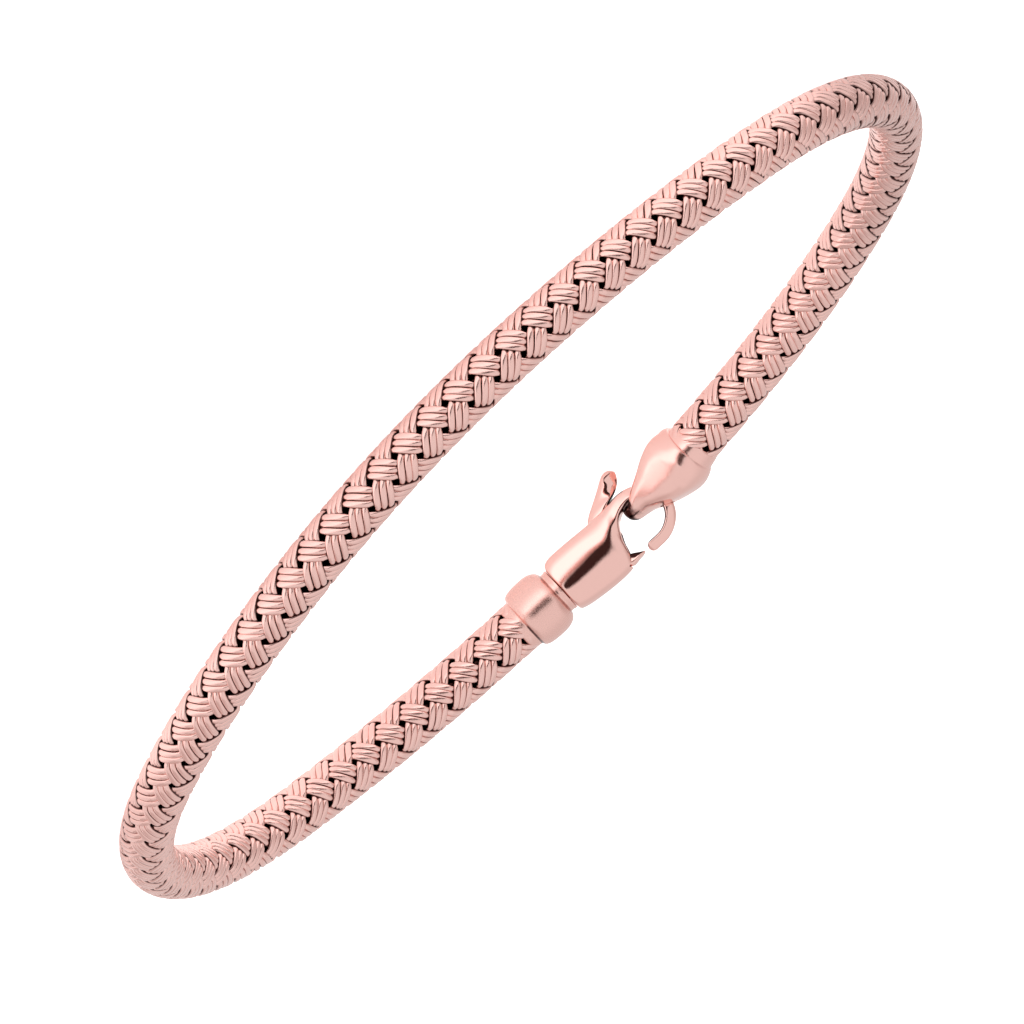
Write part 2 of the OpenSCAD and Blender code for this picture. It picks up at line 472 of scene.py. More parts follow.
class PaintedShadeTint(NodeGroup):
    """Gold that darkens towards a dark brown where shade is painted into its colour."""

    title = "painted_shade_tint"
    inputs = (
        # The gold, the colour of the painted shade, and how much painted shade each point gets.
        GroupSocket("Gold", "NodeSocketColor", (0.9, 0.55, 0.48, 1.0)),
        GroupSocket("Patina", "NodeSocketColor", (0.05, 0.02, 0.02, 1.0)),
        GroupSocket("Recess", "NodeSocketFloat", 0.0),
        GroupSocket("Place", "NodeSocketVector"),
    )
    outputs = (GroupSocket("Colour", "NodeSocketColor"),)
    patch_scale = 6.0
    patch_middle = 0.5
    raggedness = 0.35
    edge = Fade(0.15, 0.85)

    def build(self) -> None:
        """Fills the group with a painted shade mask that breaks up along its edge."""
        nodes, given = self.nodes, self.given
        patch = nodes.noise(given["Place"], self.patch_scale)
        shift = nodes.math("SUBTRACT", patch, self.patch_middle)
        ragged = nodes.math("MULTIPLY_ADD", shift, self.raggedness, given["Recess"])
        mask = nodes.fade(ragged, self.edge)
        nodes.link(nodes.mix(mask, given["Gold"], given["Patina"]), self.result["Colour"])


@dataclass(frozen=True)
class Groups:
    """The node groups that the finishes share."""

    grain: SatinGrain
    tint: PaintedShadeTint


@dataclass(frozen=True)
class GoldFinish:
    """A rose gold finish."""

    name: str
    gold: tuple
    # Colour of the painted shade in creases, gaps and undersides.
    patina: tuple = (0.045, 0.016, 0.014)
    smooth: float = 0.16
    rough: float = 0.28
    grain_scale: float = 9.0
    relief: float = 0.05
    relief_depth: float = 0.02
    drawn: bool = False

    def make(self, groups: Groups) -> bpy.types.Material:
        """Builds the material.

        Args:
            groups: The shared node groups.

        Returns:
            The material.
        """
        material = bpy.data.materials.new(self.name)
        material.use_nodes = True
        nodes = Nodes(material.node_tree)
        shader = material.node_tree.nodes["Principled BSDF"]
        shader.inputs["Metallic"].default_value = 1.0
        if self.drawn:
            place = nodes.add("ShaderNodeAttribute", attribute_name="wire_place").outputs["Vector"]
        else:
            coordinates = nodes.add("ShaderNodeTexCoord")
            millimetres = nodes.add("ShaderNodeVectorMath", operation="SCALE")
            nodes.link(coordinates.outputs["Object"], millimetres.inputs[0])
            millimetres.inputs["Scale"].default_value = 1.0 / MM
            place = millimetres.outputs[0]
        # Painted shade: the mesh marks how far to darken the gold towards the shade colour.
        recess = nodes.add("ShaderNodeAttribute", attribute_name="recess").outputs["Fac"]
        grain = groups.grain.place(
            nodes, Place=place, Scale=self.grain_scale, Smooth=self.smooth, Rough=self.rough
        )
        tint = groups.tint.place(nodes, Gold=self.gold, Patina=self.patina, Recess=recess, Place=place)
        nodes.link(tint.outputs["Colour"], shader.inputs["Base Color"])
        nodes.link(grain.outputs["Roughness"], shader.inputs["Roughness"])
        bump = nodes.add("ShaderNodeBump")
        bump.inputs["Strength"].default_value = self.relief
        bump.inputs["Distance"].default_value = self.relief_depth * MM
        nodes.link(grain.outputs["Relief"], bump.inputs["Height"])
        nodes.link(bump.outputs[0], shader.inputs["Normal"])
        return material


def new_object(name: str, mesh: bpy.types.Mesh) -> bpy.types.Object:
    """Puts a mesh into the scene as an object.

    Args:
        name: The piece's name.
        mesh: Its mesh.

    Returns:
        The object.
    """
    piece = bpy.data.objects.new(name, mesh)
    bpy.context.scene.collection.objects.link(piece)
    return piece


def ring_faces(rings: int, sides: int) -> list:
    """Joins rings of points into a closed skin with flat ends.

    Args:
        rings: How many rings there are.
        sides: How many points each ring has.

    Returns:
        Lists of point numbers.
    """
    ring = np.arange(rings - 1)[:, None] * sides
    here = np.arange(sides)[None, :]
    following = (here + 1) % sides
    above = ring + sides
    skin = np.stack((ring + here, ring + following, above + following, above + here), axis=-1)
    last = (rings - 1) * sides
    return skin.reshape(-1, 4).tolist() + [list(range(sides))[::-1], list(range(last, last + sides))]


def eased(values: np.ndarray, count: int) -> np.ndarray:
    """Runs a smooth curve through rows of values.

    Args:
        values: The rows to pass through.
        count: How many rows to give for each step.

    Returns:
        The finer rows.
    """
    before = np.vstack((2 * values[:1] - values[1:2], values[:-1]))
    after = np.vstack((values[1:], 2 * values[-1:] - values[-2:-1]))
    slope = (after - before) / 2
    share = np.arange(count)[:, None, None] / count
    first, second = values[None, :-1], values[None, 1:]
    curve = (
        (2 * share**3 - 3 * share**2 + 1) * first
        + (share**3 - 2 * share**2 + share) * slope[None, :-1]
        + (3 * share**2 - 2 * share**3) * second
        + (share**3 - share**2) * slope[None, 1:]
    )
    return np.vstack((curve.transpose(1, 0, 2).reshape(-1, values.shape[1]), values[-1:]))


def smooth_mesh(name: str, points: np.ndarray, faces: list) -> bpy.types.Mesh:
    """Makes a smooth-shaded mesh.

    Args:
        name: The mesh's name.
        points: Rows of x, y and z in metres.
        faces: Lists of point numbers.

    Returns:
        The mesh.
    """
    mesh = bpy.data.meshes.new(name)
    mesh.from_pydata(points.tolist(), [], faces)
    mesh.polygons.foreach_set("use_smooth", [True] * len(mesh.polygons))
    mesh.update()
    return mesh


def mark(mesh: bpy.types.Mesh, name: str, values: np.ndarray) -> None:
    """Stores a number, or a row of three, at every point of a mesh.

    Args:
        mesh: The mesh.
        name: What the materials know it by.
        values: One number or row for each point.
    """
    kind, key = ("FLOAT", "value") if values.ndim == 1 else ("FLOAT_VECTOR", "vector")
    mesh.attributes.new(name, kind, "POINT").data.foreach_set(key, values.reshape(-1))


def finished_mesh(piece: bpy.types.Object) -> bpy.types.Mesh:
    """Applies an object's modifiers and puts the object away.

    Args:
        piece: The object.

    Returns:
        The mesh that the modifiers leave.
    """
    done = bpy.data.meshes.new_from_object(piece.evaluated_get(bpy.context.evaluated_depsgraph_get()))
    bpy.data.objects.remove(piece)
    return done


@dataclass(frozen=True)
class Creep:
    """How far the weave has crept from an even pitch at one place along the tube, in millimetres."""

    along: float
    ahead: float


@dataclass
class WovenTube:
    """Four strands each way, of three wires each, woven one over one into a hollow tube.

    Angles run round the tube from its outward side through its upper side.
    """

    loop: Loop
    wire_diameter: float = 0.46
    outer_radius: float = 1.79
    drawn_flat: float = 0.08
    wave_height: float = 0.15
    strands_each_way: int = 4
    wires_in_strand: int = 3
    wire_spacing: float = 0.425
    squeeze: float = 0.02
    column_angle: float = -5.0
    pitch: float = 2.27
    creep: tuple = (
        Creep(7.0, -1.16),
        Creep(15.0, -1.14),
        Creep(21.0, -0.78),
        Creep(30.0, -0.50),
        Creep(54.5, 0.54),
        Creep(63.5, 0.24),
        Creep(72.5, -0.10),
        Creep(84.0, -0.24),
        Creep(95.0, 0.02),
        Creep(104.0, 0.34),
        Creep(113.0, 0.74),
        Creep(117.5, 1.26),
        Creep(122.0, 1.85),
        Creep(126.5, 2.58),
        Creep(152.5, 3.38),
        Creep(166.0, 3.92),
    )
    tucked_in: float = 1.2
    rings_per_crossing: int = 8
    sides: int = 12
    # The dark sheet inside the tube, which stands for the shade seen through the weave.
    shade_lining_radius: float = 1.02
    shade_lining_sides: int = 16
    shade_lining_rings: int = 320
    flatness: float = 2.3
    waver: float = 0.012
    waver_rates: tuple = (0.13, 0.31, 0.53)
    die_knee: float = 0.25
    die_slack: float = 0.3
    die_limit: float = 30.0
    bend_middle: float = 138.0
    bend_reach: float = 24.0
    bend_fade: Fade = Fade(0.0, 0.5)
    bend_pressed: float = 0.05
    # Painted shade: how dark the tight bend is painted, and where the wires' flanks and dips are painted
    # darker.
    bend_shade: float = 0.30
    flank_dark_from: float = 0.64
    flank_dark_over: float = 0.55
    flank_smoothed: float = 0.5
    flank_deepened: float = 0.12
    flank_outer_from: float = 0.3
    dip_dark: float = 0.55
    dip_from: float = -0.2
    dip_over: float = 0.8
    grain_round: float = 3.0
    grain_along: float = 0.25
    grain_wire: float = 7.0
    grain_strand: float = 11.0
    grain_lay: float = 50.0
    objects: list = field(default_factory=list)

    def crossings(self, along: np.ndarray) -> np.ndarray:
        """Counts the pitches of the weave up to each distance from the collar's mouth."""
        ahead = np.interp(along, [c.along for c in self.creep], [c.ahead for c in self.creep])
        return (along + ahead) / self.pitch

    def crushed(self, along: np.ndarray) -> np.ndarray:
        """Gives how far the tight bend has pressed the weave smooth at each place, from 0 to 1."""
        away = np.abs(along - self.bend_middle) / self.bend_reach
        return self.bend_fade.of(1.0 - away)

    def middle_radius(self) -> float:
        """Gives the radius that the strands weave about."""
        return self.outer_radius + self.drawn_flat - self.wire_diameter / 2 - self.wave_height

    def pressed(
        self, points: np.ndarray, centre: np.ndarray, along: np.ndarray, reached: np.ndarray
    ) -> np.ndarray:
        """Presses the wires' tops to the tube's outside, as a drawing die does.

        Args:
            points: Rings of points of one wire.
            centre: The tube's middle line at each ring.
            along: The tube's direction at each ring.
            reached: The radius that the die leaves at each ring.

        Returns:
            The pressed rings.
        """
        arm = points - centre[:, None, :]
        arm -= (arm * along[:, None, :]).sum(axis=2)[:, :, None] * along[:, None, :]
        reach = np.linalg.norm(arm, axis=2)
        knee = self.die_knee * self.drawn_flat
        over = (reach - reached[:, None]) / knee
        over = np.clip(over, -self.die_limit, self.die_limit)
        pressed = reached[:, None] - knee * np.log1p(np.exp(-over))
        pressed = np.minimum(reach, pressed + self.die_slack * knee)
        return points + arm * (pressed / reach - 1.0)[:, :, None]

    def wire_line(self, lay: Lay, strand: int, wire: int) -> tuple:
        """Follows one wire along the tube.

        Args:
            lay: The way the strand winds.
            strand: Its number.
            wire: The wire's number in the strand, with 0 in the middle.

        Returns:
            Points in the loop's frame, directions away from the tube's middle, the height of the
            weave's wave from -1 to 1, the distance along the wire, the tube's middle line and
            direction beside each point, and how crushed the weave is there.
        """
        side = float(lay.value)
        start, end = -self.tucked_in, self.loop.length + self.tucked_in
        count = int((end - start) / self.pitch * 2 * self.rings_per_crossing) + 1
        along = np.linspace(start, end, count)
        quarter = math.pi / 2
        column = math.radians(self.column_angle)
        steps = self.crossings(along)
        angle = column + side * quarter * steps + quarter * strand
        wave = side * np.cos(self.strands_each_way * (angle - column))
        height = np.tanh(self.flatness * wave) / math.tanh(self.flatness)
        middle = self.middle_radius()
        slope = math.atan2(2 * math.pi * middle, self.pitch * self.strands_each_way)
        rng = np.random.default_rng(100 * strand + 10 * (wire + 1) + lay.value + 1)
        drift = sum(np.sin(2 * math.pi * (steps * rate + rng.random())) for rate in self.waver_rates)
        spacing = self.wire_spacing - self.squeeze * (1.0 - np.abs(height))
        aside = wire * spacing + self.waver * drift
        along_wire = along - side * aside * math.sin(slope)
        angle = angle + aside * math.cos(slope) / middle
        point, outward, upward, twist = self.loop.rings(along_wire)
        away = np.cos(angle + twist)[:, None] * outward + np.sin(angle + twist)[:, None] * upward
        line = point + away * (middle + self.wave_height * height)[:, None]
        tube_way = np.cross(outward, upward)
        return line, away, height, along / math.cos(slope), point, tube_way, self.crushed(along_wire)

    def wire_shade(self, turn: np.ndarray, height: np.ndarray, crushed: np.ndarray, wire: int) -> np.ndarray:
        """Works out how much shade is painted onto each point of a wire.

        Args:
            turn: The angles round the wire's section, from its outward side.
            height: The height of the weave's wave at each ring.
            crushed: How crushed the weave is at each ring.
            wire: The wire's number in the strand, with 0 in the middle.

        Returns:
            The painted shade values, one row for each ring.
        """
        # Painted shade: flanks darken as they turn away from the outside, the tight bend darkens as a
        # whole, and the weave darkens where it dips under a crossing strand.
        crushed = crushed[:, None]
        facing = np.cos(turn)[None, :]
        inner = np.where(np.sin(turn)[None, :] * np.sign(wire) < self.flank_outer_from, 1.0, 0.0)
        smoothed = self.flank_smoothed * (crushed * inner)
        deepened = self.flank_deepened * crushed * (1.0 - inner)
        flank = (self.flank_dark_from - smoothed + deepened - facing) / self.flank_dark_over
        flank_shade = np.maximum(np.clip(flank, 0.0, 1.0), self.bend_shade * crushed)
        dip = np.clip((self.dip_from - height[:, None]) / self.dip_over, 0.0, 1.0)
        return np.maximum(flank_shade, self.dip_dark * dip)

    def wire_tube(self, lay: Lay, strand: int, wire: int) -> tuple:
        """Sweeps one wire's round section along its line.

        Args:
            lay: The way the strand winds.
            strand: Its number.
            wire: The wire's number in the strand.

        Returns:
            Points in metres, faces, painted shade values and texture places.
        """
        line, away, height, distance, centre, tube_way, crushed = self.wire_line(lay, strand, wire)
        tangent = np.gradient(line, axis=0)
        tangent /= np.linalg.norm(tangent, axis=1)[:, None]
        normal = away - (away * tangent).sum(axis=1)[:, None] * tangent
        normal /= np.linalg.norm(normal, axis=1)[:, None]
        across = np.cross(tangent, normal)
        turn = np.arange(self.sides) * 2 * math.pi / self.sides
        rise, side = np.cos(turn)[None, :], np.sin(turn)[None, :]
        section = rise[:, :, None] * normal[:, None, :] + side[:, :, None] * across[:, None, :]
        radius = self.wire_diameter / 2
        reached = self.outer_radius - self.bend_pressed * crushed
        points = self.pressed(line[:, None, :] + radius * section, centre, tube_way, reached)
        place = np.stack(
            np.broadcast_arrays(
                rise * radius * self.grain_round + self.grain_wire * wire,
                side * radius * self.grain_round + self.grain_strand * strand,
                self.grain_along * distance[:, None] + self.grain_lay * lay.value,
            ),
            axis=-1,
        )
        recess = self.wire_shade(turn, height, crushed, wire).reshape(-1)
        placed = self.loop.placed(points.reshape(-1, 3))
        return placed, ring_faces(len(line), self.sides), recess, place.reshape(-1, 3)

    def strand(self, lay: Lay, number: int) -> bpy.types.Object:
        """Makes one strand of three wires.

        Args:
            lay: The way the strand winds.
            number: Its number.

        Returns:
            The strand's object.
        """
        half = self.wires_in_strand // 2
        wires = [self.wire_tube(lay, number, wire) for wire in range(-half, half + 1)]
        points, faces, recess, place = zip(*wires)
        joined = [
            [corner + index * len(points[0]) for corner in face]
            for index, skin in enumerate(faces)
            for face in skin
        ]
        name = f"{lay.name.lower()}_strand_{number + 1}"
        mesh = smooth_mesh(name, np.vstack(points), joined)
        mark(mesh, "recess", np.concatenate(recess))
        mark(mesh, "wire_place", np.vstack(place))
        return new_object(name, mesh)

    def shade_lining(self) -> bpy.types.Object:
        """Makes a dark sheet inside the tube, painted shade that stands for the shade seen through the gaps
        of the weave.
        """
        along = np.linspace(-self.tucked_in, self.loop.length + self.tucked_in, self.shade_lining_rings)
        centre, outward, upward, _ = self.loop.rings(along)
        turn = (np.arange(self.shade_lining_sides) * 2 * math.pi / self.shade_lining_sides)[None, :, None]
        away = np.cos(turn) * outward[:, None, :] + np.sin(turn) * upward[:, None, :]
        points = (centre[:, None, :] + self.shade_lining_radius * away).reshape(-1, 3)
        faces = ring_faces(self.shade_lining_rings, self.shade_lining_sides)
        mesh = smooth_mesh("tube_shade_lining", self.loop.placed(points), faces)
        # The whole sheet is painted fully dark: painted shade.
        mark(mesh, "recess", np.ones(len(points)))
        mark(mesh, "wire_place", points)
        return new_object("tube_shade_lining", mesh)

    def build(self) -> None:
        """Makes all the strands and the dark sheet of painted shade inside them."""
        self.objects.append(self.shade_lining())
        for lay in Lay:
            for number in range(self.strands_each_way):
                self.objects.append(self.strand(lay, number))
        for piece in self.objects:
            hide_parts("woven_tube")
            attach(piece, "bangle")

    def dress(self, finish: bpy.types.Material) -> None:
        """Gives every strand its finish."""
        for piece in self.objects:
            piece.data.materials.append(finish)


@dataclass(frozen=True)
class Section:
    """One cross-section of a casting, drawn between two points of its side view.

    Heights go from -1 at the low point to 1 at the high one. From the crease up the sides draw in,
    by the bevel's share of the half width at the top.
    """

    low_x: float
    low_z: float
    high_x: float
    high_z: float
    half_width: float
    fullness: float = 2.2
    slant: float = 0.0
    crease: float = 0.0
    bevel: float = 0.0
    softness: float = 0.12


def loft(sections: tuple, steps: int = 6, sides: int = 112) -> tuple:
    """Skins a row of cross-sections with rounded outlines.

    Args:
        sections: The cross-sections in order.
        steps: How many rings to make from each to the next.
        sides: How many points go round each ring.

    Returns:
        Points as rows of x, y and z, and faces.
    """
    rows = eased(np.array([astuple(section) for section in sections]), steps)
    low, high = rows[:, 0:2], rows[:, 2:4]
    half_width, power, slant, crease, bevel, softness = rows.T[4:, :, None]
    turn = (np.arange(sides) + 0.5) * 2 * math.pi / sides
    reach = (np.abs(np.cos(turn)) ** power + np.abs(np.sin(turn)) ** power) ** (-1.0 / power)
    across, rise = reach * np.cos(turn), reach * np.sin(turn)
    middle, half = (low + high) / 2, (high - low) / 2
    flat = middle[:, None, :] + rise[:, :, None] * half[:, None, :]
    drawn_in = bevel * softness / (1.0 - crease) * np.logaddexp(0.0, (rise - crease) / softness)
    wide = half_width * across * (1.0 - slant * rise) * (1.0 - drawn_in)
    points = np.stack((flat[:, :, 0], wide, flat[:, :, 1]), axis=-1)
    return points.reshape(-1, 3), ring_faces(len(rows), sides)


@dataclass(frozen=True)
class RidgePoint:
    """One point of the ridge between a casting's two flat faces, in its side view."""

    x: float
    z: float
    softness: float


@dataclass(frozen=True)
class Ridge:
    """A ridge along a casting's sides, above which they lean inwards as flat faces."""

    line: tuple
    lean: float
    tallest: float
    narrowest: float = 0.3

    def drawn_in(self, points: np.ndarray) -> np.ndarray:
        """Leans the sides in above the ridge.

        Args:
            points: Rows of x, y and z.

        Returns:
            The moved rows.
        """
        order = sorted(self.line, key=lambda point: point.x)
        at = [point.x for point in order]
        height = np.interp(points[:, 0], at, [point.z for point in order])
        softness = np.interp(points[:, 0], at, [point.softness for point in order])
        above = points[:, 2] - height
        inset = self.lean * softness * np.logaddexp(0.0, above / softness)
        inset *= (above < self.tallest) & (points[:, 0] > at[0])
        moved = points.copy()
        width = np.abs(points[:, 1])
        moved[:, 1] = np.sign(points[:, 1]) * np.maximum(width - inset, self.narrowest * width)
        return moved


@dataclass(frozen=True)
class Slope:
    """A falling straight line in a casting's side view."""

    x: float
    z: float
    fall: float

    def over(self, x: np.ndarray, z: np.ndarray) -> np.ndarray:
        """Gives how far the line runs above each point."""
        return self.z - self.fall * (x - self.x) - z


def prism(outline: tuple, half_width: float) -> tuple:
    """Makes a straight-sided block that lies across the clasp.

    Args:
        outline: Its side outline, as points of x and z.
        half_width: How far it reaches to either side.

    Returns:
        Points and faces.
    """
    x, z = np.array(outline).T
    rings = [np.column_stack((x, np.full(len(x), y), z)) for y in (-half_width, half_width)]
    return np.vstack(rings), ring_faces(2, len(x))


@dataclass
class Casting:
    """A cast and polished piece with its edges rubbed round, drawn in the claw's or end cap's frame."""

    name: str
    node: str
    body: str
    slot: str
    loop: Loop
    grid: float = 0.05
    rubs: int = 8
    rub_share: float = 0.5
    kept: float = 0.45
    piece: bpy.types.Object | None = None

    def placed(self, points: np.ndarray) -> np.ndarray:
        """Moves points from the piece's own frame to the resting bangle, in millimetres."""
        own = self.loop.from_cap(points) if self.node == "end_cap" else self.loop.from_claw(points)
        return self.loop.placed(own) / MM

    def own(self, points: np.ndarray) -> np.ndarray:
        """Moves points from the resting bangle, in metres, to the piece's own frame in millimetres."""
        lifted = self.loop.lifted(points)
        return self.loop.in_cap(lifted) if self.node == "end_cap" else self.loop.in_claw(lifted)

    def block(self, name: str, points: np.ndarray, faces: list) -> bpy.types.Object:
        """Makes an object from a closed skin.

        Args:
            name: The object's name.
            points: Its points in the piece's own frame.
            faces: Its faces, turned either way.

        Returns:
            The object, with its faces turned outwards.
        """
        mesh = smooth_mesh(name, self.placed(points), faces)
        work = bmesh.new()
        work.from_mesh(mesh)
        bmesh.ops.recalc_face_normals(work, faces=work.faces)
        work.to_mesh(mesh)
        work.free()
        return new_object(name, mesh)

    def rough(self) -> bpy.types.Object:
        """Gives the unpolished shape in millimetres."""
        raise NotImplementedError

    def build(self) -> None:
        """Closes the rough shape on a fine grid, rubs its edges and keeps a share of the faces."""
        rough = self.rough()
        grid = rough.modifiers.new("grid", "REMESH")
        grid.mode = "VOXEL"
        grid.voxel_size = self.grid
        rub = rough.modifiers.new("rub", "SMOOTH")
        rub.factor = self.rub_share
        rub.iterations = self.rubs
        thin = rough.modifiers.new("thin", "DECIMATE")
        thin.ratio = self.kept
        done = finished_mesh(rough)
        done.transform(Matrix.Scale(MM, 4))
        done.polygons.foreach_set("use_smooth", [True] * len(done.polygons))
        self.paint_shade(done)
        self.piece = new_object(self.name, done)
        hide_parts(self.node)
        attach(self.piece, self.body)

    def paint_shade(self, mesh: bpy.types.Mesh) -> None:
        """Paints shade into the mesh: stores how dark each point is painted.

        Args:
            mesh: The finished mesh, in metres.
        """
        points, normals = np.empty((2, 3 * len(mesh.vertices)))
        mesh.vertices.foreach_get("co", points)
        mesh.vertex_normals.foreach_get("vector", normals)
        points, normals = points.reshape(-1, 3), normals.reshape(-1, 3)
        here = self.own(points)
        mark(mesh, "recess", self.shade_places(here, self.own(points + MM * normals) - here))

    def shade_places(self, here: np.ndarray, facing: np.ndarray) -> np.ndarray:
        """Gives how much shade is painted on each point of the piece's own frame: here none."""
        return np.zeros(len(here))

    def dress(self, finish: bpy.types.Material) -> None:
        """Gives the piece its finish."""
        self.piece.data.materials.append(finish)


@dataclass
class Pin(Casting):
    """A plain round pin that lies across the claw."""

    x: float = 0.0
    z: float = 0.0
    radius: float = 0.34
    half_length: float = 1.3
    corners: int = 32

    def rough(self) -> bpy.types.Object:
        """Gives the pin's cylinder."""
        turn = np.linspace(0.0, 2 * math.pi, self.corners, endpoint=False)
        rim = np.column_stack((self.x + self.radius * np.cos(turn), self.z + self.radius * np.sin(turn)))
        return self.block(self.name + "_rough", *prism(rim, self.half_length))


@dataclass(frozen=True)
class Groove:
    """A groove round a turned casting, darkened with painted shade."""

    x: float
    reach: float
    depth: float
    above: float
    fade: float = 0.5


@dataclass
class TurnedCasting(Casting):
    """A casting skinned over cross-sections, with other closed skins run into it."""

    sections: tuple = ()
    extras: tuple = ()
    grooves: tuple = ()

    def shade_places(self, here: np.ndarray, facing: np.ndarray) -> np.ndarray:
        """Darkens the grooves with painted shade.

        Args:
            here: Points in the piece's own frame, in millimetres.
            facing: The normals there; not used.

        Returns:
            How much shade is painted on each point, from 0 to 1.
        """
        dark = np.zeros(len(here))
        for groove in self.grooves:
            within = Fade(0.0, groove.reach).of(groove.reach - np.abs(here[:, 0] - groove.x))
            above = Fade(groove.above, groove.above + groove.fade).of(here[:, 2])
            dark = np.maximum(dark, groove.depth * within * above)
        return dark

    def skins(self) -> list:
        """Gives the points and faces of every closed skin."""
        return [loft(self.sections)] + [loft(extra) for extra in self.extras]

    def rough(self) -> bpy.types.Object:
        """Gives all the skins as one object."""
        work = bmesh.new()
        for number, skin in enumerate(self.skins()):
            part = self.block(f"{self.name}_skin_{number}", *skin)
            work.from_mesh(part.data)
            bpy.data.objects.remove(part)
        mesh = bpy.data.meshes.new(self.name + "_rough")
        work.to_mesh(mesh)
        work.free()
        return new_object(self.name + "_rough", mesh)


@dataclass
class ClawLever(TurnedCasting):
    """The gate, the boss on the rivet and the thumb tab, cast in one."""

    boss: tuple = ()
    half_width: float = 0.42
    gate_above: Fade = Fade(0.3, 0.9)
    gate_beyond: Fade = Fade(7.4, 7.7)
    gate_under: Fade = Fade(0.12, 0.40)
    tab_before: Fade = Fade(-10.6, -9.9)
    tab_beyond: Fade = Fade(8.9, 9.3)
    tab_below: Fade = Fade(0.5, 1.2)
    tab_over: Fade = Fade(0.35, 0.65)

    def shade_places(self, here: np.ndarray, facing: np.ndarray) -> np.ndarray:
        """Paints shade on the gate's underside and in the crotch between the tab and the claw.

        Args:
            here: Points in the claw's frame, in millimetres.
            facing: The normals there.

        Returns:
            How much shade is painted on each point, from 0 to 1.
        """
        x, z = here[:, 0], here[:, 2]
        on_gate = self.gate_above.of(z) * self.gate_beyond.of(-x)
        on_tab = self.tab_before.of(x) * self.tab_beyond.of(-x) * self.tab_below.of(-z)
        under, over = self.gate_under.of(-facing[:, 2]), self.tab_over.of(facing[:, 2])
        return np.maximum(on_gate * under, on_tab * over)

    def skins(self) -> list:
        """Gives the tab, the gate and the boss."""
        return super().skins() + [prism(self.boss, self.half_width)]


@dataclass
class LoftedCasting(TurnedCasting):
    """A casting skinned over cross-sections, with a ridge on its sides and one opening cut through it."""

    ridge: Ridge | None = None

    def skins(self) -> list:
        """Gives the closed skins, leaned in above the ridge."""
        return [(self.ridge.drawn_in(points), faces) for points, faces in super().skins()]

    def opening(self) -> tuple:
        """Gives the points and faces of what is cut away."""
        raise NotImplementedError

    def rough(self) -> bpy.types.Object:
        """Gives the skinned shape with its opening cut."""
        body = super().rough()
        tool = self.block(self.name + "_tool", *self.opening())
        cutter = body.modifiers.new("cut", "BOOLEAN")
        cutter.solver = "EXACT"
        cutter.operation = "DIFFERENCE"
        cutter.object = tool
        done = finished_mesh(body)
        bpy.data.objects.remove(tool)
        return new_object(self.name + "_cut", done)


@dataclass
class ClawBody(LoftedCasting):
    """The claw's body, spine and hook in one, with the lever's slot cut through it."""

    slot_outline: tuple = ()
    slot_half_width: float = 0.47
    hook_centre: tuple = ()
    hook_beyond: Fade = Fade(8.6, 9.0)
    hook_above: Fade = Fade(0.2, 0.8)
    hook_inward: Fade = Fade(0.25, 0.55)
    hook_aside: Fade = Fade(0.10, 0.22)
    eye_beyond: Fade = Fade(11.2, 11.4)
    eye_slope: Slope = Slope(-12.3, 0.80, 0.55)
    eye_below: Fade = Fade(-0.05, 0.08)
    crotch_beyond: Fade = Fade(8.9, 9.3)
    crotch_before: Fade = Fade(-10.7, -10.3)
    crotch_below: Fade = Fade(1.3, 1.6)
    crotch_under: Fade = Fade(0.5, 0.8)
    slot_before: Fade = Fade(-9.3, -9.0)
    slot_within: Fade = Fade(-0.56, -0.50)
    slot_inward: Fade = Fade(0.3, 0.6)

    def shade_places(self, here: np.ndarray, facing: np.ndarray) -> np.ndarray:
        """Paints shade on the hook's inner edge and its foot in the eye, in the crotch at the tab and in
        the slot.

        Args:
            here: Points in the claw's frame, in millimetres.
            facing: The normals there.

        Returns:
            How much shade is painted on each point, from 0 to 1.
        """
        x, y, z = here.T
        arm = here[:, [0, 2]] - np.array(self.hook_centre)
        arm /= np.linalg.norm(arm, axis=1)[:, None]
        inward = -(arm * facing[:, [0, 2]]).sum(axis=1)
        hook = self.hook_beyond.of(-x) * self.hook_above.of(z) * self.hook_inward.of(inward)
        hook *= self.hook_aside.of(np.abs(y))
        eye = self.eye_beyond.of(-x) * self.eye_below.of(self.eye_slope.over(x, z))
        crotch = self.crotch_beyond.of(-x) * self.crotch_before.of(x) * self.crotch_below.of(-z)
        crotch *= self.crotch_under.of(-facing[:, 2])
        slot = self.slot_before.of(x) * self.slot_within.of(-np.abs(y))
        slot *= self.slot_inward.of(-facing[:, 1] * np.sign(y))
        return np.max((hook, eye, slot, crotch), axis=0)

    def opening(self) -> tuple:
        """Gives the lever's slot."""
        return prism(self.slot_outline, self.slot_half_width)


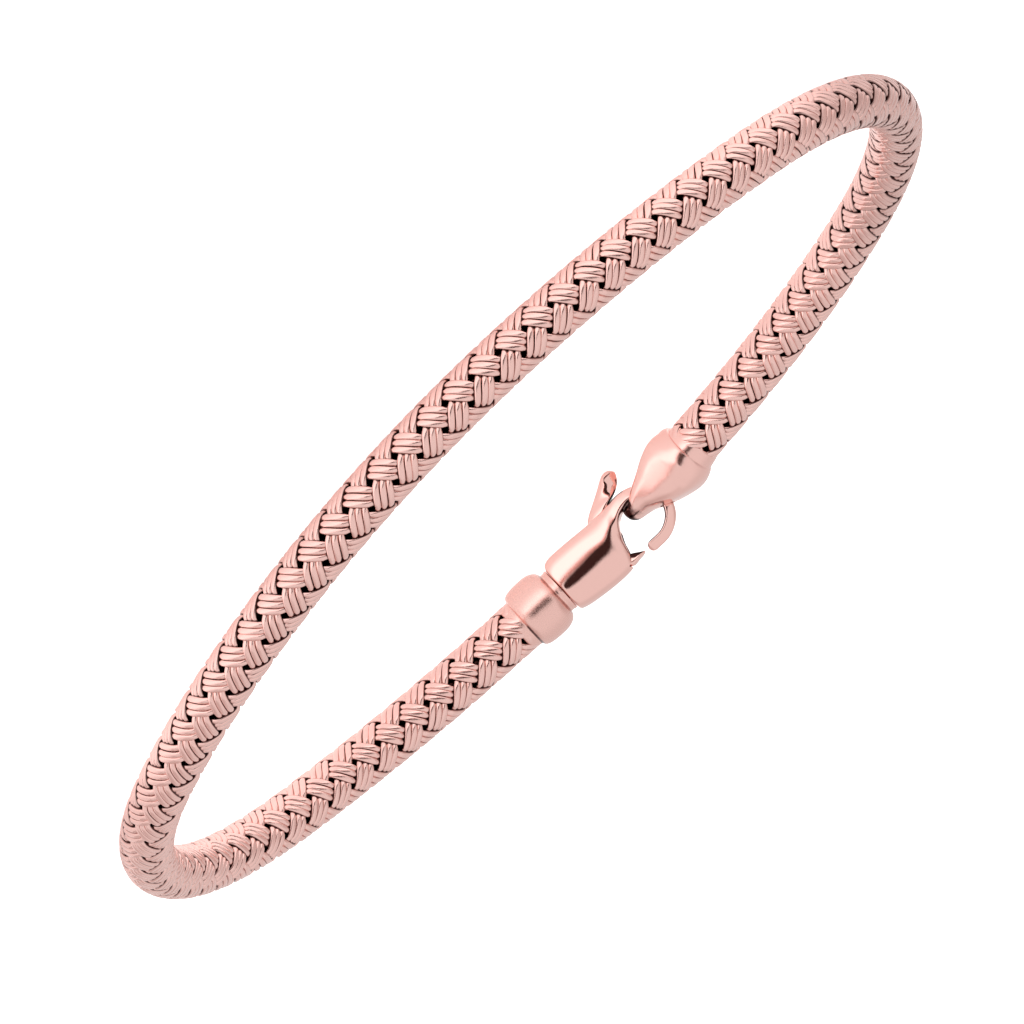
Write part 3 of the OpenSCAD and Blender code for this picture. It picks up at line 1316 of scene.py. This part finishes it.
@dataclass
class EndCap(LoftedCasting):
    """The tapered cap over the tube's other end, with the eye that the hook goes through."""

    bore: tuple = ()
    tip_beyond: Fade = Fade(4.5, 4.8)
    tip_ahead: Fade = Fade(0.16, 0.48)
    tip_under: Fade = Fade(0.2, 0.5)
    eye_beyond: Fade = Fade(2.6, 2.8)
    eye_before: Fade = Fade(-4.4, -4.2)
    eye_within: Fade = Fade(-0.64, -0.52)
    eye_slope: Slope = Slope(2.75, 1.52, 0.44)
    eye_below: Fade = Fade(0.0, 0.12)

    def shade_places(self, here: np.ndarray, facing: np.ndarray) -> np.ndarray:
        """Paints shade on the blunt tip and inside the eye.

        Args:
            here: Points in the end cap's frame, in millimetres.
            facing: The normals there.

        Returns:
            How much shade is painted on each point, from 0 to 1.
        """
        x, y, z = here.T
        blunt = np.maximum(self.tip_ahead.of(facing[:, 0]), self.tip_under.of(-facing[:, 2]))
        eye = self.eye_beyond.of(x) * self.eye_before.of(-x) * self.eye_within.of(-np.abs(y))
        eye *= self.eye_below.of(self.eye_slope.over(x, z))
        return np.maximum(self.tip_beyond.of(x) * blunt, eye)

    def opening(self) -> tuple:
        """Gives the bore, which is drawn in the claw's frame, as the hook is."""
        points, faces = loft(self.bore)
        return self.loop.in_cap(self.loop.from_claw(points)), faces


@dataclass
class Clasp:
    """The collar, claw, lever, rivet and end cap."""

    loop: Loop
    hook_x: float = -10.2
    hook_z: float = 0.25
    hook_inner: float = 1.42
    hook_foot: int = -90
    hook_top: int = -270
    hook_step: int = 12
    hook_swell: float = 0.15
    rod: float = 0.78
    spine_depth: float = 0.90
    spine_half_width: float = 0.58
    spine_runout: float = 75.0
    tip_x: float = -9.55
    tip_corners: tuple = (30, 55, 75, 86)
    eye_start: int = -68
    eye_end: int = -236
    eye_play: float = 0.13
    eye_side_play: float = 0.03
    rivet_x: float = -6.1
    rivet_z: float = 0.4
    parts: list = field(default_factory=list)

    def body_sections(self) -> list:
        """Gives the claw's body from its foot to the spine, one section after another."""
        return [
            Section(-3.07, -1.35, -3.07, 1.66, 1.34, 4.0),
            Section(-3.09, -1.52, -3.09, 1.80, 1.46, 4.6),
            Section(-3.28, -1.80, -3.28, 1.96, 1.56, 5.0),
            Section(-3.80, -1.96, -3.90, 2.12, 1.61, 5.2),
            Section(-4.70, -1.96, -5.00, 2.26, 1.62, 5.2),
            Section(-5.60, -1.93, -6.05, 2.34, 1.59, 5.2),
            Section(-6.20, -1.90, -7.00, 2.34, 1.54, 5.2),
            Section(-6.70, -1.88, -7.62, 2.25, 1.46, 5.2),
            Section(-7.15, -1.87, -7.88, 2.08, 1.37, 5.2),
            Section(-7.60, -1.87, -8.04, 1.74, 1.27, 5.0),
            Section(-8.00, -1.88, -8.14, 1.28, 1.18, 4.8),
            Section(-8.40, -1.90, -8.23, 0.80, 1.09, 4.6),
            Section(-8.80, -1.94, -8.40, 0.30, 0.99, 4.6, -0.04),
            Section(-9.15, -1.98, -8.65, -0.22, 0.90, 4.8, -0.08),
            Section(-9.50, -2.03, -9.00, -0.68, 0.81, 5.0, -0.10),
            Section(-9.85, -2.07, -9.47, -0.98, 0.72, 5.0, -0.10),
        ]

    @staticmethod
    def body_ridge() -> Ridge:
        """Gives the ridge that runs along the claw's body and down its spine."""
        line = (
            RidgePoint(-3.0, 0.36, 0.24),
            RidgePoint(-3.6, 0.39, 0.28),
            RidgePoint(-4.2, 0.39, 0.32),
            RidgePoint(-5.0, 0.36, 0.33),
            RidgePoint(-5.7, 0.31, 0.34),
            RidgePoint(-6.3, 0.24, 0.34),
            RidgePoint(-6.8, 0.16, 0.33),
            RidgePoint(-7.1, 0.07, 0.29),
            RidgePoint(-7.5, -0.14, 0.20),
            RidgePoint(-7.9, -0.41, 0.12),
            RidgePoint(-8.3, -0.63, 0.07),
            RidgePoint(-8.8, -0.82, 0.045),
            RidgePoint(-9.5, -1.02, 0.04),
            RidgePoint(-10.3, -1.16, 0.04),
            RidgePoint(-10.6, -1.00, 0.04),
        )
        return Ridge(line, 0.33, 2.6)

    def run_out(self, degrees: float) -> float:
        """Gives how far the spine has turned into the hook's rod at one angle, from 0 to 1."""
        return min(1.0, max(0.0, (self.hook_foot - degrees) / self.spine_runout))

    def hook_ring(self, degrees: float, play: float = 0.0) -> tuple:
        """Gives the hook's outer and inner points at one angle, and its half width.

        Args:
            degrees: The angle round the hook's centre.
            play: How far to stand off from the hook on both sides.

        Returns:
            The outer x and z, the inner x and z, and the half width.
        """
        turn = math.radians(degrees)
        gone = self.run_out(degrees)
        depth = self.spine_depth + (self.rod - self.spine_depth) * gone
        width = self.spine_half_width + (self.rod / 2 - self.spine_half_width) * gone
        swell = self.hook_swell * max(0.0, -math.cos(turn)) ** 4
        ring = []
        for reach in (self.hook_inner + depth + swell + play, self.hook_inner + swell - play):
            ring += [self.hook_x + reach * math.cos(turn), self.hook_z + reach * math.sin(turn)]
        return (*ring, width)

    def hook_sections(self) -> list:
        """Gives the hook from the spine round to its rounded tip."""
        made = []
        for degrees in range(self.hook_foot, self.hook_top - 1, -self.hook_step):
            gone = self.run_out(degrees)
            made.append(
                Section(
                    *self.hook_ring(degrees),
                    fullness=4.6 - 1.4 * gone,
                    slant=-0.08 - 0.52 * gone,
                    crease=0.66,
                    bevel=0.48 * gone,
                    softness=0.05,
                )
            )
        radius = self.rod / 2
        for share in (0.5, 1.0):
            made.append(self.tip_section(self.hook_x + share * (self.tip_x - self.hook_x), radius))
        for degrees in self.tip_corners:
            turn = math.radians(degrees)
            made.append(self.tip_section(self.tip_x + radius * math.sin(turn), radius * math.cos(turn)))
        return made

    def tip_section(self, x: float, radius: float) -> Section:
        """Gives an upright section of the hook's straight end."""
        middle = self.hook_z + self.hook_inner + self.rod / 2
        return Section(x, middle + radius, x, middle - radius, radius, 3.2, -0.6, 0.66, 0.48, 0.05)

    @staticmethod
    def cap_ridge() -> Ridge:
        """Gives the ridge that falls from the top of the end cap's mouth and runs along its lower edge."""
        line = (
            RidgePoint(-0.30, 2.60, 0.2),
            RidgePoint(0.50, 0.30, 0.2),
            RidgePoint(1.00, -0.75, 0.12),
            RidgePoint(1.55, -0.99, 0.05),
            RidgePoint(2.60, -0.64, 0.05),
            RidgePoint(3.60, -0.46, 0.05),
            RidgePoint(4.50, -0.28, 0.05),
            RidgePoint(4.90, -0.20, 0.10),
        )
        return Ridge(line, 0.09, 9.0)

    def cap_sections(self) -> tuple:
        """Gives the end cap from its mouth to its flattened tip."""
        return (
            Section(-0.48, -1.76, -0.48, 1.76, 1.76, 2.0),
            Section(-0.52, -1.92, -0.52, 1.92, 1.92, 2.0),
            Section(-0.42, -2.03, -0.42, 2.04, 2.05, 2.0),
            Section(-0.15, -2.14, -0.15, 2.17, 2.15, 2.1),
            Section(0.15, -2.12, 0.15, 2.25, 2.20, 2.4, 0.0, 0.30, 0.02, 0.12),
            Section(0.50, -2.12, 0.50, 2.28, 2.20, 3.2, 0.0, 0.30, 0.07, 0.12),
            Section(0.95, -2.06, 0.95, 2.26, 2.16, 4.0, 0.0, 0.34, 0.10, 0.10),
            Section(1.40, -1.94, 1.40, 2.17, 2.09, 4.6, 0.0, 0.38, 0.09, 0.08),
            Section(1.85, -1.79, 1.85, 2.04, 2.01, 4.8, 0.0, 0.38, 0.09, 0.08),
            Section(2.30, -1.61, 2.30, 1.89, 1.94, 4.8, 0.0, 0.38, 0.09, 0.08),
            Section(2.75, -1.41, 2.75, 1.72, 1.84, 4.6, 0.0, 0.38, 0.09, 0.08),
            Section(3.25, -1.22, 3.25, 1.51, 1.72, 4.0, 0.02, 0.38, 0.07, 0.08),
            Section(3.75, -1.05, 3.75, 1.28, 1.60, 3.4, 0.05, 0.38, 0.04, 0.08),
            Section(4.25, -0.85, 4.25, 1.04, 1.46, 2.9, 0.08),
            Section(4.70, -0.58, 4.70, 0.91, 1.32, 2.6, 0.10),
            Section(5.05, -0.43, 5.05, 0.84, 1.19, 2.3, 0.10),
            Section(5.35, -0.41, 5.35, 0.76, 1.06, 2.4, 0.08),
            Section(5.58, -0.39, 5.58, 0.64, 0.90, 2.5),
            Section(5.74, -0.33, 5.74, 0.46, 0.66, 2.5),
            Section(5.82, -0.14, 5.82, 0.18, 0.30, 2.2),
        )

    @staticmethod
    def turned(x: float, radius: float) -> Section:
        """Gives a round section that stands square across the clasp."""
        return Section(x, -radius, x, radius, radius, 2.0)

    def collar_sections(self) -> tuple:
        """Gives the collar's barrel, its neck ring and the post into the claw."""
        return tuple(
            self.turned(x, radius)
            for x, radius in (
                (0.20, 1.50),
                (0.27, 1.76),
                (0.28, 1.90),
                (0.22, 2.02),
                (0.06, 2.14),
                (-0.20, 2.225),
                (-0.62, 2.28),
                (-1.23, 2.295),
                (-1.66, 2.27),
                (-2.02, 2.18),
                (-2.28, 2.04),
                (-2.46, 1.87),
                (-2.55, 1.70),
                (-2.58, 1.60),
                (-2.66, 1.57),
                (-2.78, 1.58),
                (-2.96, 1.63),
                (-3.04, 1.58),
                (-3.04, 1.20),
                (-3.05, 0.90),
                (-3.30, 0.80),
                (-4.00, 0.79),
            )
        )

    def tab_sections(self) -> tuple:
        """Gives the lever's thumb tab, a rounded spoon under the claw."""
        return (
            Section(-6.90, -1.55, -7.90, -0.95, 0.44, 3.0),
            Section(-7.25, -2.02, -8.45, -1.42, 0.45, 3.0, 0.0, -0.1, 0.0, 0.1),
            Section(-7.70, -2.38, -8.95, -1.80, 0.46, 4.0, -0.15),
            Section(-8.20, -2.66, -9.38, -2.08, 0.47, 4.6, -0.22),
            Section(-8.72, -2.95, -9.70, -2.22, 0.48, 4.2, -0.10, 0.12, 0.26, 0.18),
            Section(-9.22, -3.25, -10.05, -2.36, 0.49, 3.4, 0.0, 0.10, 0.66, 0.26),
            Section(-9.70, -3.55, -10.38, -2.56, 0.50, 3.4, 0.0, 0.02, 0.72, 0.30),
            Section(-10.08, -3.74, -10.66, -2.82, 0.44, 2.8, 0.62),
            Section(-10.42, -3.80, -10.82, -3.06, 0.36, 2.2, 0.62),
            Section(-10.70, -3.71, -10.91, -3.26, 0.25, 2.0, 0.5),
            Section(-10.88, -3.52, -10.94, -3.40, 0.08, 2.0),
        )

    def gate_sections(self) -> tuple:
        """Gives the lever's gate, which comes to a blunt wedge under the hook's tip."""
        return (
            Section(-6.70, 0.30, -6.75, 1.25, 0.42, 3.0),
            Section(-7.05, 0.55, -7.15, 1.82, 0.42, 3.0),
            Section(-7.35, 0.90, -7.48, 2.10, 0.42, 3.0, -0.1),
            Section(-7.65, 1.18, -7.74, 2.22, 0.42, 3.0, -0.2),
            Section(-7.95, 1.40, -8.00, 2.20, 0.42, 3.0, -0.3),
            Section(-8.25, 1.56, -8.30, 2.14, 0.42, 3.0, -0.35),
            Section(-8.50, 1.72, -8.55, 2.12, 0.40, 2.8, -0.35),
            Section(-8.70, 1.84, -8.74, 2.08, 0.34, 2.4, -0.3),
            Section(-8.86, 1.93, -8.88, 2.03, 0.12, 2.0),
        )

    def boss(self) -> tuple:
        """Gives the side outline of the lever's hidden middle, round the rivet."""
        return (
            (-6.9, 0.4),
            (-6.8, 1.3),
            (-6.1, 1.25),
            (-5.45, 0.95),
            (-5.25, 0.4),
            (-5.45, -0.15),
            (-6.7, -1.4),
            (-7.4, -2.0),
            (-8.0, -1.5),
            (-7.0, -0.2),
        )

    def eye(self) -> tuple:
        """Gives the bore through the end cap, which follows the hook with a little play."""
        made = []
        for degrees in range(self.eye_start, self.eye_end - 1, -self.hook_step):
            *ring, width = self.hook_ring(degrees, self.eye_play)
            slant = -0.10 - 0.50 * self.run_out(degrees)
            made.append(Section(*ring, width + self.eye_side_play, 3.0, slant))
        return tuple(made)

    @staticmethod
    def solder(rings: tuple, rise: float) -> tuple:
        """Gives a sleeve of solder that runs out over the weave, lifted so that it covers more above."""
        return tuple(Section(x, rise - radius, x, rise + radius, radius, 2.0) for x, radius in rings)

    def collar_solder(self) -> tuple:
        """Gives the solder at the collar's mouth."""
        rings = ((0.10, 1.81), (0.40, 1.80), (0.70, 1.77), (0.95, 1.73), (1.08, 1.62))
        return self.solder(rings, 0.02)

    def cap_solder(self) -> tuple:
        """Gives the solder at the end cap's mouth."""
        rings = ((-0.30, 1.90), (-0.65, 1.85), (-0.95, 1.80), (-1.25, 1.74), (-1.40, 1.62))
        return self.solder(rings, 0.09)

    @staticmethod
    def collar_grooves() -> tuple:
        """Gives where the collar gets painted shade: the two edges of its neck ring, and its mouth from
        above.
        """
        return (
            Groove(-2.53, 0.17, 0.50, -9.0),
            Groove(-3.04, 0.07, 0.30, -9.0),
            Groove(0.28, 0.16, 0.80, 0.3),
        )

    @staticmethod
    def lever_slot() -> tuple:
        """Gives the side outline of the slot that the lever swings in."""
        return (
            (-9.6, -2.6),
            (-9.25, -2.22),
            (-9.05, -2.06),
            (-7.3, -0.3),
            (-8.8, 0.1),
            (-9.0, 2.8),
            (-7.68, 2.8),
            (-7.62, 2.28),
            (-6.95, 1.75),
            (-5.4, 1.55),
            (-4.95, 0.4),
            (-5.3, -0.8),
            (-6.0, -2.6),
        )

    def build(self) -> None:
        """Makes every casting."""
        loop = self.loop
        collar = TurnedCasting("collar_barrel", "collar", "bangle", "cast_gold", loop, rubs=2)
        collar.sections, collar.extras = self.collar_sections(), (self.collar_solder(),)
        collar.grooves = self.collar_grooves()
        claw = ClawBody("claw_body", "claw", "bangle", "cast_gold", loop, grid=0.04, rubs=5)
        claw.sections, claw.ridge = tuple(self.body_sections() + self.hook_sections()), self.body_ridge()
        claw.slot_outline, claw.hook_centre = self.lever_slot(), (self.hook_x, self.hook_z)
        lever = ClawLever("claw_lever", "lever", "lever", "lever_gold", loop, grid=0.03, rubs=5)
        lever.sections, lever.extras, lever.boss = self.tab_sections(), (self.gate_sections(),), self.boss()
        rivet = Pin("lever_rivet", "rivet", "bangle", "lever_gold", loop, rubs=1)
        rivet.x, rivet.z = self.rivet_x, self.rivet_z
        cap = EndCap("tube_end_cap", "end_cap", "bangle", "cast_gold", loop, grid=0.04, rubs=5)
        cap.sections, cap.extras = self.cap_sections(), (self.cap_solder(),)
        cap.bore, cap.ridge = self.eye(), self.cap_ridge()
        self.parts = [collar, claw, lever, rivet, cap]
        for part in self.parts:
            part.build()

    def dress(
        self, polished: bpy.types.Material, satin: bpy.types.Material, soft: bpy.types.Material
    ) -> None:
        """Gives every casting its finish.

        Args:
            polished: The bright finish of the claw, its lever and its rivet.
            satin: The collar's finish.
            soft: The end cap's finish.
        """
        for part in self.parts:
            part.dress({"collar": satin, "end_cap": soft}.get(part.node, polished))


@dataclass
class Studio:
    """Pale floor, soft light and the camera where the photograph was taken from."""

    loop: Loop
    target: tuple = (-4.356, -21.919, 0.0)
    azimuth: float = 0.197
    elevation: float = 14.470
    roll: float = -135.490
    distance: float = 968.0
    focal_pixels: float = 14833.3
    picture_pixels: float = 1024.0
    sensor: float = 36.0
    nearest: float = 0.05
    furthest: float = 20.0
    floor_size: float = 6.0
    floor_drop: float = 0.00005
    floor_roughness: float = 0.9
    # The floor's own glow, and the grey rings of painted light that the metal mirrors.
    floor_glow: float = 0.92
    floor_flecks: tuple = ((0.35, 0.86), (0.65, 0.88))
    fleck_scale: float = 900.0
    glow_radius: float = 0.055
    glow_greys: tuple = ((0.29, 1.0), (0.39, 0.38), (0.47, 0.42), (0.56, 0.70), (1.0, 0.70))
    glow_sides: Fade = Fade(0.029, 0.038)
    glow_side_shade: tuple = (0.22, 0.20, 0.20)
    white: tuple = (1.0, 1.0, 1.0)
    sky_strength: float = 1.0
    sky_pale: tuple = (0.88, 0.88, 0.88)
    sky_back: tuple = (0.76, 0.76, 0.76)
    sky_back_from: Fade = Fade(-0.3, 0.5)
    sky_side: tuple = (0.64, 0.58, 0.57)
    sky_side_from: Fade = Fade(0.45, 0.85)
    sky_side_past: Fade = Fade(-0.40, -0.05)
    patch_shade: tuple = (0.045, 0.024, 0.022)
    patch_edge: Fade = Fade(0.88, 1.0)
    patch_side: float = -0.225
    patch_height: float = 0.17
    patch_half_height: float = 0.18
    patch_half_width: float = 0.675
    softbox_place: tuple = (-0.3, -0.2, 0.9)
    softbox_size: float = 1.6
    softbox_power: float = 1.0

    def camera(self) -> None:
        """Makes the camera."""
        azimuth, elevation, roll = (math.radians(a) for a in (self.azimuth, self.elevation, self.roll))
        ahead = Vector(
            (
                math.sin(azimuth) * math.cos(elevation),
                math.cos(azimuth) * math.cos(elevation),
                -math.sin(elevation),
            )
        )
        right = Vector((math.cos(azimuth), -math.sin(azimuth), 0.0))
        up = right.cross(ahead)
        turned = Matrix(
            (
                math.cos(roll) * right - math.sin(roll) * up,
                math.sin(roll) * right + math.cos(roll) * up,
                -ahead,
            )
        ).transposed()
        rest = self.loop.to_rest()
        place = rest @ (Vector(self.target) - ahead * self.distance)
        lens = bpy.data.cameras.new("photo_camera")
        lens.sensor_width = self.sensor
        lens.lens = self.focal_pixels / self.picture_pixels * self.sensor
        lens.clip_start, lens.clip_end = self.nearest, self.furthest
        camera = bpy.data.objects.new("photo_camera", lens)
        bpy.context.scene.collection.objects.link(camera)
        turn = rest.to_3x3().normalized() @ turned
        camera.matrix_world = Matrix.Translation(place) @ turn.to_4x4()
        bpy.context.scene.camera = camera

    def floor(self) -> None:
        """Makes the floor, which glows: evenly white to the camera, and in grey rings of painted light in
        what the metal mirrors of it.
        """
        half = self.floor_size / 2
        points = np.array([(-half, -half, 0), (half, -half, 0), (half, half, 0), (-half, half, 0)])
        sheet = new_object("floor", smooth_mesh("floor", points, [[0, 1, 2, 3]]))
        sheet.location.z = -self.floor_drop
        paper = bpy.data.materials.new("floor_paper")
        paper.use_nodes = True
        nodes = Nodes(paper.node_tree)
        shader = paper.node_tree.nodes["Principled BSDF"]
        shader.inputs["Roughness"].default_value = self.floor_roughness
        shader.inputs["Emission Strength"].default_value = self.floor_glow
        place = nodes.add("ShaderNodeTexCoord").outputs["Object"]
        radius = nodes.add("ShaderNodeVectorMath", operation="LENGTH")
        nodes.link(place, radius.inputs[0])
        away = nodes.math("DIVIDE", radius.outputs["Value"], self.glow_radius)
        split = nodes.add("ShaderNodeSeparateXYZ")
        nodes.link(place, split.inputs[0])
        beside = nodes.fade(nodes.math("ABSOLUTE", split.outputs["X"]), self.glow_sides)
        glow = nodes.mix(beside, nodes.ramp(away, self.glow_greys), self.glow_side_shade)
        # Painted light: the glow's grey rings show only in reflections, while the camera sees the floor
        # evenly white.
        path = nodes.add("ShaderNodeLightPath")
        seen = nodes.mix(path.outputs["Is Camera Ray"], glow, self.white)
        nodes.link(seen, shader.inputs["Emission Color"])
        fleck = nodes.ramp(nodes.noise(None, self.fleck_scale), self.floor_flecks)
        nodes.link(fleck, shader.inputs["Base Color"])
        sheet.data.materials.append(paper)
        sheet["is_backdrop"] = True

    def sky(self) -> None:
        """Makes the room's light: pale all round, with a dark patch round the camera."""
        world = bpy.data.worlds.new("room")
        world.use_nodes = True
        bpy.context.scene.world = world
        nodes = Nodes(world.node_tree)
        place = nodes.add("ShaderNodeTexCoord")
        split = nodes.add("ShaderNodeSeparateXYZ")
        nodes.link(place.outputs["Generated"], split.inputs[0])
        x, y, z = (split.outputs[axis] for axis in "XYZ")
        shifted = nodes.math("SUBTRACT", x, self.patch_side)
        wide = nodes.math("POWER", nodes.math("DIVIDE", shifted, self.patch_half_width), 2.0)
        raised = nodes.math("SUBTRACT", z, self.patch_height)
        tall = nodes.math("POWER", nodes.math("DIVIDE", raised, self.patch_half_height), 2.0)
        behind = nodes.math("GREATER_THAN", y, 0.0)
        reach = nodes.math("ADD", nodes.math("SQRT", nodes.math("ADD", wide, tall)), behind)
        pale = nodes.mix(nodes.fade(y, self.sky_back_from), self.sky_pale, self.sky_back)
        side = nodes.fade(nodes.math("ABSOLUTE", x), self.sky_side_from)
        side = nodes.math("MULTIPLY", side, nodes.fade(y, self.sky_side_past))
        pale = nodes.mix(side, pale, self.sky_side)
        background = world.node_tree.nodes["Background"]
        colour = nodes.mix(nodes.fade(reach, self.patch_edge), self.patch_shade, pale)
        nodes.link(colour, background.inputs["Color"])
        background.inputs["Strength"].default_value = self.sky_strength

    def softbox(self) -> None:
        """Adds a soft light overhead that faces the bangle and doesn't show in the metal."""
        lamp = bpy.data.lights.new("top_softbox", "AREA")
        lamp.shape = "DISK"
        lamp.size = self.softbox_size
        lamp.energy = self.softbox_power
        holder = bpy.data.objects.new("top_softbox", lamp)
        bpy.context.scene.collection.objects.link(holder)
        holder.location = self.softbox_place
        holder.rotation_mode = "QUATERNION"
        holder.rotation_quaternion = (-Vector(self.softbox_place)).to_track_quat("-Z", "Y")
        holder.visible_glossy = False

    def build(self) -> None:
        """Makes the whole studio."""
        self.camera()
        self.floor()
        self.sky()
        self.softbox()
        bpy.context.scene.view_settings.view_transform = "Standard"


def main() -> None:
    """Builds the bangle, dresses it and sets up the studio."""
    logging.basicConfig(level=logging.INFO, format="%(name)s: %(message)s")
    groups = Groups(SatinGrain(), PaintedShadeTint())
    rose_gold = (0.93, 0.575, 0.515)
    wire_gold = (0.93, 0.595, 0.54)
    satin_gold = (0.90, 0.555, 0.495)
    loop = Loop()
    tube = WovenTube(loop)
    tube.build()
    tube.dress(GoldFinish("woven_rose_gold", wire_gold, smooth=0.16, rough=0.29, drawn=True).make(groups))
    clasp = Clasp(loop)
    clasp.build()
    clasp.dress(
        GoldFinish("polished_rose_gold", rose_gold, smooth=0.03, rough=0.08).make(groups),
        GoldFinish("satin_rose_gold", satin_gold, smooth=0.20, rough=0.30, relief=0.10).make(groups),
        GoldFinish("soft_rose_gold", rose_gold, smooth=0.13, rough=0.22, relief=0.08).make(groups),
    )
    log.info("clasp: %d castings", len(clasp.parts))
    Studio(loop).build()
    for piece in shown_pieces():
        log.info("%s: %d faces", piece.name, len(piece.data.polygons))


if __name__ == "__main__":
    main()
